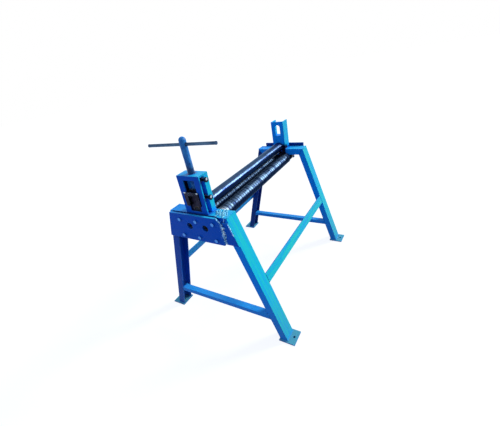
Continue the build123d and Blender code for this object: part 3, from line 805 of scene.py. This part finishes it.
def thread_reach(height, radius, pitch, depth, fade=1.0):
    """The reach of a thread at a height: crest, flank, root and flank."""

    def reach(angle):
        turn = (height / pitch - angle / tau) % 1.0
        root = smooth_step((turn - 0.30) / 0.22) - smooth_step((turn - 0.76) / 0.22)
        return radius - depth * fade * root

    return reach


screw_low, screw_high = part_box("pressure_screw")
screw_radius = (screw_high.x - screw_low.x) / 2
screw_axis = Vector(((screw_low.x + screw_high.x) / 2, 0.0, 0.0))
foot_height = 0.0072
foot_chamfer = 0.001
neck_radius = 0.0125
neck_height = 0.0080
thread_pitch = 0.0060
thread_depth = 0.0024
thread_end = 1.100
thread_rows = 10  # rings in one turn of the thread
head_rows = 12
dome_turn = radians(88)

foot_top = screw_low.z + foot_height
neck_top = foot_top + neck_height
dome_start = screw_high.z - screw_radius
profile = [(screw_low.z, screw_radius - foot_chamfer), (screw_low.z + foot_chamfer, screw_radius)]
profile += [(foot_top, screw_radius), (foot_top, neck_radius), (neck_top, neck_radius)]
rows = int((thread_end - neck_top) / thread_pitch * thread_rows)
for row in range(rows + 1):
    height = neck_top + (thread_end - neck_top) * row / rows
    fade = smooth_step((thread_end - height) / (2 * thread_pitch))
    profile.append((height, thread_reach(height, screw_radius, thread_pitch, thread_depth, fade)))
steps = range(1, head_rows + 1)
profile += [(thread_end + (dome_start - thread_end) * row / head_rows, screw_radius) for row in steps]
for row in steps:
    angle = dome_turn * row / head_rows
    profile.append((dome_start + screw_radius * sin(angle), screw_radius * cos(angle)))
blank_shell = turned(screw_axis, "z", profile, 72)
print("screw of", len(blank_shell), "rings, with a thread up to", thread_end)

# %% Cross hole
cross_hole_radius = 0.0081
cross_mouth_radius = 0.0100
bar_low, bar_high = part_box("tommy_bar")
bar_turn = radians(4.3)


def as_left(rings):
    """Rings turned about the screw's axis to how it was left."""
    turn = Matrix.Rotation(bar_turn, 4, "Z")
    about = Matrix.Translation(screw_axis) @ turn @ Matrix.Translation(-screw_axis)
    return [[about @ point for point in one] for one in rings]


hole_axis = screw_axis + Vector((0.0, 0.0, (bar_low.z + bar_high.z) / 2))
mouth = screw_radius * 1.1
flare = screw_radius * 0.72
hole_profile = [(-mouth, cross_mouth_radius), (-flare, cross_hole_radius)]
hole_profile += [(flare, cross_hole_radius), (mouth, cross_mouth_radius)]
hole_rings = as_left(turned(hole_axis, "y", hole_profile))
hole = put_in_scene("cross_hole", skin("cross_hole", [hole_rings]))
blank = put_in_scene("screw_blank", skin("screw_blank", [blank_shell]))
modify(blank, "BOOLEAN", operation="DIFFERENCE", solver="EXACT", object=hole)
bpy.context.view_layer.update()
graph = bpy.context.evaluated_depsgraph_get()
screw_mesh = bpy.data.meshes.new_from_object(blank.evaluated_get(graph))
bpy.data.objects.remove(hole)
bpy.data.objects.remove(blank)
painted_screw = finishes["screw_paint"]
show("threaded_pressure_screw", screw_mesh, painted_screw, "screw_paint", "screw", "pressure_screw")

# %% [markdown]
# ## Tommy bar
#
# The bar is round steel whose ends were hammered wider, so that it can't fall out of the screw.
# Hammering leaves a swollen, rounded end with flats. A plain cylinder would miss that, so the
# profile swells over the last centimetre and the reach dips where the hammer struck.

# %% Tommy bar
bar_ends = (-0.188, 0.220)  # in front of and behind the screw's axis
bar_radius = 0.0080
bar_end_radius = (bar_high.z - bar_low.z) / 2
bar_end_width = 0.0070
hammer_depth = 0.0007
swell_levels = ((0.12, 0.85), (0.35, 1.0), (0.65, 1.0), (0.88, 0.78), (1.0, 0.25))


def hammered(radius, along):
    """A swollen end with shallow flats."""

    def reach(angle):
        blow = noise.noise(Vector((cos(angle) * 2.2, sin(angle) * 2.2, along * 300)))
        return radius - hammer_depth * (0.5 + 0.5 * blow)

    return reach


def bar_half(tip):
    """Distances and reaches from the bar's middle to one end."""
    side = 1 if tip > 0 else -1
    neck = tip - side * bar_end_width
    swell = bar_end_radius - bar_radius
    profile = [(neck - side * 0.0001, bar_radius), (neck, bar_radius + 0.4 * swell)]
    for share, level in swell_levels:
        along = neck + side * bar_end_width * share
        profile.append((along, hammered(bar_radius + swell * level, along)))
    return profile + [(tip, bar_radius * 0.6)]


bar_profile = bar_half(bar_ends[0])[::-1] + bar_half(bar_ends[1])
bar_shell = as_left(turned(hole_axis, "y", bar_profile, 40))
show("hammered_tommy_bar", [bar_shell], finishes["bar_steel"], "bar_steel", "bar", "tommy_bar")

# %% [markdown]
# ## Rollers
#
# The lower rollers have shallow turned grooves, which grip the plate, and worn, uneven lands. Journals
# run in the bushes, and the near ends have a square socket for a handle. The top roller is smooth. A
# cylinder with a bump map would lose its outline, so each roller is one skin: from the bore of one end,
# over the journal and the face, and in to the far end's centre hole, where the lathe held it.

# %% Roller ends
shoulder_radius = 0.0185
journal_chamfer = 0.0012
socket_side = 0.0140
socket_flare = 0.0008
socket_depth = 0.0300
centre_hole = 0.0030


def roller_end(tip, shoulder, journal):
    """One end of a roller, from its tip to its working face."""
    side = 1 if tip > 0 else -1
    return [
        (tip, journal - journal_chamfer),
        (tip - side * journal_chamfer, journal),
        (shoulder, journal),
        (shoulder, shoulder_radius),
        (side * face_end, shoulder_radius),
    ]


def centre_drilling(tip):
    """A centre hole, from the rim inwards."""
    inward = -1 if tip > 0 else 1
    return [(tip, centre_hole), (tip + inward * centre_hole, centre_hole * 0.1)]


def square_socket(tip):
    """A square socket, from the rim inwards."""
    wall = square(socket_side)
    rim = square(socket_side + 2 * socket_flare)
    return [(tip, rim), (tip + socket_flare, wall), (tip + socket_depth, wall)]


print("sockets for a", round(socket_side * 1000), "mm square handle")

# %% Rollers
face_chamfer = 0.0030
lower_journal = 0.0140
lower_shoulders = (-0.5195, 0.5195)
top_journal = 0.0150
top_shoulders = (-0.4895, 0.4845)
groove_depth = 0.00070
land_unevenness = 0.00022
smooth_steps = 40


def smooth_face(radius):
    """A plain face."""
    reach = face_end - face_chamfer
    return [((2 * step / smooth_steps - 1) * reach, radius) for step in range(smooth_steps + 1)]


def grooved_face(radius, seed):
    """A face with grooves and uneven lands."""
    land = groove_pitch - groove_width
    face = [(face_chamfer - face_end, radius)]
    for step in range(groove_count):
        edge = groove_start + step * groove_pitch
        for share in (0.0, 0.25, 0.5, 0.75, 1.0):
            along = edge + land * share
            dip = land_unevenness * (0.5 + 0.5 * noise.noise(Vector((along * 34, seed, 0.0))))
            face.append((along, radius - dip))
        for share in (0.35, 0.65):
            face.append((edge + land + groove_width * share, radius - groove_depth))
    return face + [(face_end - face_chamfer, radius)]


def show_roller(name, finish, body, node, face_of, bore_of, shoulders, journal):
    """Turns one roller from bore to bore, in place of its solid."""
    low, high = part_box(node)
    radius = (high.z - low.z) / 2
    axis_point = Vector((0.0, (low.y + high.y) / 2, (low.z + high.z) / 2))
    profile = bore_of(low.x)[::-1] + roller_end(low.x, shoulders[0], journal)
    profile += [(-face_end, radius - face_chamfer)] + face_of(radius) + [(face_end, radius - face_chamfer)]
    profile += roller_end(high.x, shoulders[1], journal)[::-1] + centre_drilling(high.x)
    show(name, [turned(axis_point, "x", profile, 80)], finish, "roller_steel", body, node)


for seed, side in enumerate(("front", "back")):
    show_roller(f"{side}_grooved_roller", scaled_steel, f"{side}_roll", f"{side}_lower_roller",
                lambda radius: grooved_face(radius, 3.7 * seed),
                square_socket, lower_shoulders, lower_journal)
show_roller("smooth_top_roller", finishes["roller_steel"], "top_roll", "top_roller",
            smooth_face, centre_drilling, top_shoulders, top_journal)

# %% [markdown]
# ## Hexagon bolts
#
# Six bolts hold the near end plate and three the far one. A bought bolt head is a hexagon whose
# corners are turned off at the top, which leaves round arcs on its sides. The reach of each ring
# is the smaller of the hexagon and a cone, and that makes the arcs by itself.

# %% Hexagon bolts
bolt_pitch = 0.112
bolt_rows = {"near": (0.768, 0.669), "far": (0.768,)}
bolt_flats = 0.019
bolt_shank = 0.006
crown_fillet = 0.0006
crown_slope = 0.36
chance = random.Random(7)


def hexagon_head(seat, outer, flats, turn):
    """A chamfered hexagon head, from its seat to its crown."""
    height = outer - seat
    shape = hexagon(flats)
    crown = flats / 2 * 0.93

    def cone(share):
        lead = crown + abs(height) * (1 - share) / crown_slope
        return lambda angle: min(shape(angle + turn), lead)

    profile = [(seat + height * share, cone(share)) for share in (0.0, 0.5, 0.7, 0.8, 0.88, 0.94, 1.0)]
    dished = outer - height * 0.06
    return profile + [(outer, crown - crown_fillet), (dished, crown * 0.86), (dished, crown * 0.2)]


def spanner_turn():
    """How far a spanner left a hexagon turned."""
    return chance.uniform(0, pi / 3)


for end in ("near", "far"):
    low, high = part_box(f"{end}_plate_bolts")
    plate_low, plate_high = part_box(f"{end}_end_plate")
    seat, tip, outer = plate_high.x, low.x, high.x
    if end == "near":
        seat, tip, outer = plate_low.x, high.x, low.x
    bolts = []
    for height in bolt_rows[end]:
        for step in (-1, 0, 1):
            profile = [(tip, bolt_shank), (seat, bolt_shank)]
            profile += hexagon_head(seat, outer, bolt_flats, spanner_turn())
            bolts.append(turned(Vector((0.0, step * bolt_pitch, height)), "x", profile))
    show(f"{end}_hexagon_bolts", bolts, bolt_paint, "bolt_steel", "frame", f"{end}_plate_bolts")

# %% [markdown]
# ## Guide screws
#
# Two long screws at the front of the near housing press its guide bar against the bearing block, and
# lock nuts hold them. They are black with oil, with one bright spot on the upper side of each head,
# painted there as a glint. The thread is wound as on the pressure screw.

# %% Guide screws
guide_low, guide_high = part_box("guide_screws")
nut_low, nut_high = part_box("guide_screw_nuts")
guide_flats = 0.024
guide_radius = 0.008
guide_thread = 0.0020
guide_thread_depth = 0.0011
guide_thread_rows = 8
guide_head = 0.0100
guide_x = (guide_low.x + guide_high.x) / 2
guide_heights = (guide_high.z - guide_flats / 2, guide_low.z + guide_flats / 2)
# Bright spots on the upper side of the heads, painted as glints.
head_glint_spots = [(guide_x, guide_low.y, height + 0.004) for height in guide_heights]
black_steel = metal("oil_black_screws", colour(6, 10, 28), colour(24, 32, 62), 160.0, 0.36,
                    knocks_and_glints=head_glint_spots, reach=0.0085)

guide_screws = []
lock_nuts = []
for height in guide_heights:
    base = Vector((guide_x, 0.0, height))
    seat = guide_low.y + guide_head
    rows = int((guide_high.y - seat) / guide_thread * guide_thread_rows)
    profile = [(guide_high.y, guide_radius * 0.8)]
    for row in range(rows + 1):
        along = guide_high.y + (seat - guide_high.y) * row / rows
        profile.append((along, thread_reach(along, guide_radius, guide_thread, guide_thread_depth)))
    profile += hexagon_head(seat, guide_low.y, guide_flats, spanner_turn())
    guide_screws.append(turned(base, "y", profile))
    turn = spanner_turn()
    nut_middle = (nut_low.y + nut_high.y) / 2
    crown_out = hexagon_head(nut_middle, nut_low.y, guide_flats, turn)
    crown_in = hexagon_head(nut_middle, nut_high.y, guide_flats, turn)
    lock_nuts.append(turned(base, "y", crown_in[:0:-1] + crown_out))
show("threaded_guide_screws", guide_screws, black_steel, "bolt_steel", "frame", "guide_screws")
show("guide_lock_nuts", lock_nuts, black_steel, "bolt_steel", "frame", "guide_screw_nuts")

# %% [markdown]
# ## Socket screws
#
# Two sunk screws hold the keeper on the bearing block, and four hold the clamp round the pressure
# screw's foot. Each has a hexagon socket for a key. The head's rim and the socket are rings too: the
# rim is a circle, and the next ring inwards is a hexagon.

# %% Socket screws
socket_rim = 0.0006
clamp_head = 0.005
dark_iron = finishes["block_iron"]


def socket_screw(base, axis, tip, front, shank, head, head_height):
    """One sunk screw, from its tip to the bottom of its socket."""
    out = 1 if front > tip else -1
    key = hexagon(head)
    seat = front - out * head_height
    profile = [(tip, shank - socket_rim), (tip + out * socket_rim, shank), (seat, shank), (seat, head)]
    profile += [(front - out * socket_rim, head), (front, head - socket_rim)]
    profile += [(front, key), (front - out * head_height * 0.6, key)]
    return turned(base, axis, profile)


low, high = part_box("keeper_screws")
keeper_head = (high.z - low.z) / 2
middle = (low.z + high.z) / 2
bases = [Vector((0.0, side * (high.y - keeper_head), middle)) for side in (-1, 1)]
screws = [socket_screw(base, "x", high.x, low.x, 0.004, keeper_head, 0.005) for base in bases]
show("keeper_socket_screws", screws, dark_iron, "bolt_steel", "upper_carriage", "keeper_screws")

low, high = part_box("clamp_screws")
clamp_xs = (low.x + clamp_head, high.x - clamp_head)
clamp_ys = (low.y + clamp_head, high.y - clamp_head)
bases = [Vector((x, y, 0.0)) for x in clamp_xs for y in clamp_ys]
screws = [socket_screw(base, "z", low.z, high.z, 0.003, clamp_head, 0.004) for base in bases]
show("clamp_socket_screws", screws, dark_iron, "bolt_steel", "upper_carriage", "clamp_screws")

# %% [markdown]
# ## Weld beads
#
# The frame was welded by hand: legs to beams and feet, ties to legs, housing and post to the beams. A
# bead is a row of overlapping drops, round, rippled and a little uneven. A bump in the paint could
# suggest ripples but not the round of the bead, so each one is a tube along its seam whose reach swells
# and shrinks, half sunk in the steel. Most seams are the same at the front and at the back.

# %% One bead
bead_step = 0.0016
ripple_length = 0.0046
bead_sides = 10
noise.seed_set(5)  # without a seed, noise vectors start from the clock


def bead(start, stop, radius, unevenness=0.16):
    """Rings of one bead between two points, rounded off at both ends."""
    start = Vector(start)
    way = Vector(stop) - start
    turn = way.to_track_quat("Z", "Y")
    count = max(int(way.length / bead_step), 8)
    rings = []
    for row in range(count + 1):
        along = way.length * row / count
        ending = min(along / radius, (way.length - along) / radius, 1.0)
        middle = start + way * row / count
        lump = noise.noise(middle * 260) * unevenness
        ripple = 0.92 + 0.08 * cos(tau * along / ripple_length)
        reach = radius * ripple * (1 + lump) * sqrt(1 - (1 - ending) ** 2 * 0.96)
        wander = noise.noise_vector(middle * 170) * radius * unevenness
        points = []
        for step in range(bead_sides):
            angle = tau * step / bead_sides
            points.append(middle + wander + turn @ Vector((cos(angle), sin(angle), 0.0)) * reach)
        rings.append(points)
    return rings


print("a bead's ripples are", ripple_length * 1000, "mm apart")

# %% Weld beads
leg_low, leg_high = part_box("far_front_leg")
beam_low, beam_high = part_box("far_beam")
outer_x = leg_high.x
inner_x = leg_low.x
leg_depth = beam_high.z - beam_low.z
leg_lean = cos(atan(leg_slope))
thin_bead = 0.0022
rail_bead = 0.0024
tie_bead = 0.0026
full_bead = 0.0030
rail_depth = 0.008
rail_gap = 0.003


def leg_y(height, depth=0.0):
    """Y of a front leg at a height, at a depth inside its outer face."""
    return leg_low.y + leg_slope * (height - leg_low.z) + depth / leg_lean


def on_leg(x, height, depth=0.0):
    """A point on a front leg."""
    return x, leg_y(height, depth), height


def lay(start, stop, radius, flips=(1, -1)):
    """Lays a bead at the front and another, flipped, at the back."""
    for flip in flips:
        beads.append(bead(*[(x, flip * y, z) for x, y, z in (start, stop)], radius))


beads = []
for x in (-outer_x, -inner_x, inner_x, outer_x):
    lay(on_leg(x, beam_high.z), on_leg(x, beam_low.z, leg_depth), thin_bead)
    lay(on_leg(x, leg_low.z), on_leg(x, leg_low.z, leg_depth), full_bead)
for x in (-outer_x, inner_x):
    for height in (leg_low.z, beam_high.z):
        lay(on_leg(x, height), on_leg(x + outer_x - inner_x, height), full_bead)
for node, x in (("near_stretcher", -outer_x), ("far_stretcher", inner_x)):
    low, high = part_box(node)
    lay(on_leg(x, low.z, leg_depth), on_leg(x, high.z, leg_depth), tie_bead)
for node, flip in (("front_rail", 1), ("back_rail", -1)):
    low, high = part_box(node)
    for x in (-inner_x, inner_x):
        for depth in (0.0, rail_depth):
            lay(on_leg(x, low.z + rail_gap, depth), on_leg(x, high.z, depth), rail_bead, [flip])
low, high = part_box("bridge_plate")
lay((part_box("front_upright")[0].x, low.y, low.z), (high.x, low.y, low.z), thin_bead)
for node in ("front_upright", "far_post"):
    low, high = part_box(node)
    lay((low.x, low.y, beam_high.z), (high.x, low.y, beam_high.z), full_bead)
lay((low.x, low.y, beam_low.z), (low.x, low.y, beam_high.z), thin_bead)
print(len(beads), "beads")
show("weld_beads", beads, paint_of["near"], "frame_paint", "frame")

# %% [markdown]
# ## Rough repair weld
#
# At the near front corner the cheek was welded on later, in heavy uneven passes that were hardly painted.
# Short passes weave across the seam beside the end plate, others go round its cut corner, a patch of
# passes runs across the beam, and drops of spatter lie around. Placing each by hand would take long, so
# they start and stop at seeded places: the weld is rough but always the same.

# %% Rough passes
bright_weld = metal("bright_weld", colour(44, 112, 184), colour(166, 212, 242), 120.0, 0.48, shade_reach=0.003)
pale_weld = metal("pale_weld", colour(50, 148, 190), colour(150, 214, 232), 120.0, 0.60)
plate_low, plate_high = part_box("near_end_plate")
cheek_low, cheek_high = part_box("near_plate_cheek")
seam_y = (plate_low.y + cheek_high.y) / 2
corner_cut = 0.026
seam_top = plate_high.z - corner_cut
seam_foot = plate_low.z + 0.006
seam_length = cheek_high.z - seam_foot
weave_passes = 11
patch_y = -0.176
patch_slant = 0.026
patch_passes = 9
patch_step = 0.0072
patch_inset = 0.012
cheek_weld_foot = 0.705
seam_bead = 0.0034
patch_bead = 0.0040
drop_count = 22
scatter = random.Random(11)


def rough_pass(start, stop, radius, shake):
    """One rough pass, with its ends shaken a little."""
    ends = []
    for end in (start, stop):
        ends.append(Vector(end) + Vector([scatter.uniform(-part, part) for part in shake]))
    return bead(*ends, radius * scatter.uniform(0.75, 1.15), 0.7)


def spatter_drop():
    """A drop beside the seam, half sunk in the steel."""
    aside = scatter.uniform(-0.024, 0.016)
    face = plate_low.x if aside > 0.002 else cheek_low.x
    place = Vector((face, seam_y + aside, scatter.uniform(seam_foot, cheek_high.z)))
    radius = scatter.uniform(0.0007, 0.0018)
    return bead(place, place + radius * Vector(along_z), radius, 0.3)


print("a rough seam of", round(seam_length, 3), "metres")

# %% Rough repair weld
edge_x = plate_low.x + 0.004
leg_foot = leg_y(cheek_weld_foot) + 0.002
leg_top = leg_y(cheek_high.z) + 0.002
seam_ends = [
    ((edge_x, plate_low.y, seam_top), (edge_x, plate_low.y + corner_cut, plate_high.z)),
    ((-outer_x, seam_y - 0.010, cheek_high.z), (-outer_x, seam_y - 0.016, beam_high.z)),
    ((cheek_low.x, leg_foot, cheek_weld_foot), (cheek_low.x, leg_top, cheek_high.z)),
    ((edge_x, plate_low.y, seam_foot + 0.04), (edge_x, plate_low.y, seam_top)),
]
seam_beads = [rough_pass(start, stop, seam_bead, (0.0, 0.0, 0.002)) for start, stop in seam_ends]
for step in range(weave_passes):
    height = seam_foot + seam_length * (step + 0.5) / weave_passes
    start = (plate_low.x + 0.003, seam_y + 0.005, height + 0.006)
    stop = (cheek_low.x, seam_y - 0.012, height - 0.006)
    seam_beads.append(rough_pass(start, stop, seam_bead, (0.001, 0.005, 0.004)))
patch_beads = []
for step in range(patch_passes):
    y = patch_y + step * patch_step
    start = (-outer_x + patch_inset, y, beam_high.z)
    stop = (-inner_x - patch_inset, y + patch_slant, beam_high.z)
    patch_beads.append(rough_pass(start, stop, patch_bead, (0.012, 0.004, 0.0008)))
seam_beads += [spatter_drop() for drop in range(drop_count)]
show("repair_weld", seam_beads, bright_weld, "frame_paint", "frame")
show("patch_weld", patch_beads, pale_weld, "frame_paint", "frame")

# %% [markdown]
# ## Caked dirt and painted shade
#
# The near end plate stands off the beam on a packing bar, and oily dust has caked along the beam's edge
# behind it; the dark bead also paints the shade of the groove there. It could be a dark stripe in the
# paint, but dirt in a corner is round like putty, so it is a bead with a duller finish. No floor bolts
# are fitted, and dust fills the feet's holes as low heaps, which also stand for the shade in the holes.

# %% Caked dirt and painted shade
oily_dust_and_shade = metal("oily_dust_and_shade", colour(10, 40, 96), colour(20, 66, 140), 90.0, 0.75)
# Dust in the feet's holes, also standing for the shade inside them.
foot_dust_and_shade = metal("foot_dust_and_shade", colour(34, 92, 124), colour(60, 124, 150), 90.0, 0.75)
dirt_sink = 0.003
dirt_short = 0.012  # of the back leg
dirt_bead = 0.0056
foot_hole = 0.0070
foot_hole_in = 0.0220  # from the toe of a foot
heap_height = 0.0030

# A dark bead along the beam's edge: caked dirt, and the painted shade of the groove.
beam_edge = Vector((-outer_x + dirt_sink, 0.0, beam_high.z - dirt_sink))
dirt_start = beam_edge + Vector((0.0, plate_low.y + corner_cut, 0.0))
dirt_stop = beam_edge + Vector((0.0, -leg_y(beam_high.z) - dirt_short, 0.0))
dirt = bead(dirt_start, dirt_stop, dirt_bead, 0.2)
show("dirt_and_shade_behind_plate", [dirt], oily_dust_and_shade, "frame_paint", "frame")


def dust_and_shade_heap(node):
    """Rings of the dust in one foot's hole, which also stands for the shade in it."""
    low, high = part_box(node)
    toe = low.y + foot_hole_in if low.y < 0 else high.y - foot_hole_in
    middle = Vector(((low.x + high.x) / 2, toe, low.z))

    def rough(reach):
        return lambda angle: reach * (0.90 + 0.09 * noise.noise(Vector((3 * angle, reach * 900, low.x))))

    profile = [(0.0, foot_hole * 0.97), (heap_height * 0.4, foot_hole * 0.97)]
    for level, share in ((0.7, 0.8), (0.9, 0.5), (1.0, 0.2)):
        profile.append((heap_height * level, rough(foot_hole * share)))
    return turned(middle, "z", profile, 24)


heaps = [dust_and_shade_heap(f"{end}_{side}_foot") for end in ("near", "far") for side in ("front", "back")]
show("dust_and_shade_in_feet", heaps, foot_dust_and_shade, "frame_paint", "frame")

# %% [markdown]
# ## Sizes and end
#
# The dressed machine must stay inside the box of its solids, so both boxes are printed side by side.

# %% Sizes and end
dressed_low, dressed_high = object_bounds()
sizes = {
    "solids": [list(solid_low), list(solid_high)],
    "dressed": [list(dressed_low), list(dressed_high)],
}
for name, corners in sizes.items():
    print(name, [[round(part, 4) for part in corner] for corner in corners])
